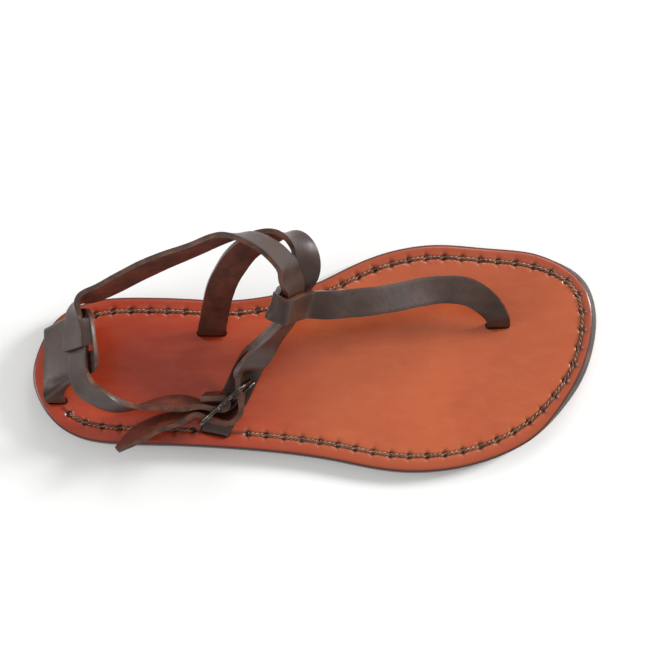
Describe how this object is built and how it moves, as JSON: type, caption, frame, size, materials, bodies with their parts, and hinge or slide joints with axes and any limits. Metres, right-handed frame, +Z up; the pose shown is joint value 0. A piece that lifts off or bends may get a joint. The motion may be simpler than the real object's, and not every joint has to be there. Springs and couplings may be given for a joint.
{
  "type": "toe post sandal",
  "caption": "Right leather toe post sandal: flat stitched sole, strap from the toe looped round crossing instep and ankle straps, heel band and small buckle.",
  "frame": {"origin": "middle of the sandal's outline on the floor, under its bounding box's middle", "axes": "+X from heel to toe, +Y to the big toe's side, +Z up"},
  "size_m": [0.2672, 0.1087, 0.0815],
  "materials": {
    "sole_leather": "dark burnished sole leather",
    "insole_leather": "glossy cognac vegetable-tanned leather",
    "strap_leather": "dark brown satin strap leather with red-brown flesh side",
    "buckle_metal": "darkened polished steel"
  },
  "bodies": {
    "root": {"outsole": "sole_leather", "insole": "insole_leather", "heel_band": "strap_leather", "ankle_strap": "strap_leather", "instep_strap": "strap_leather", "toe_strap": "strap_leather", "buckle_frame": "buckle_metal", "buckle_prong": "buckle_metal"}
  },
  "joints": []
}
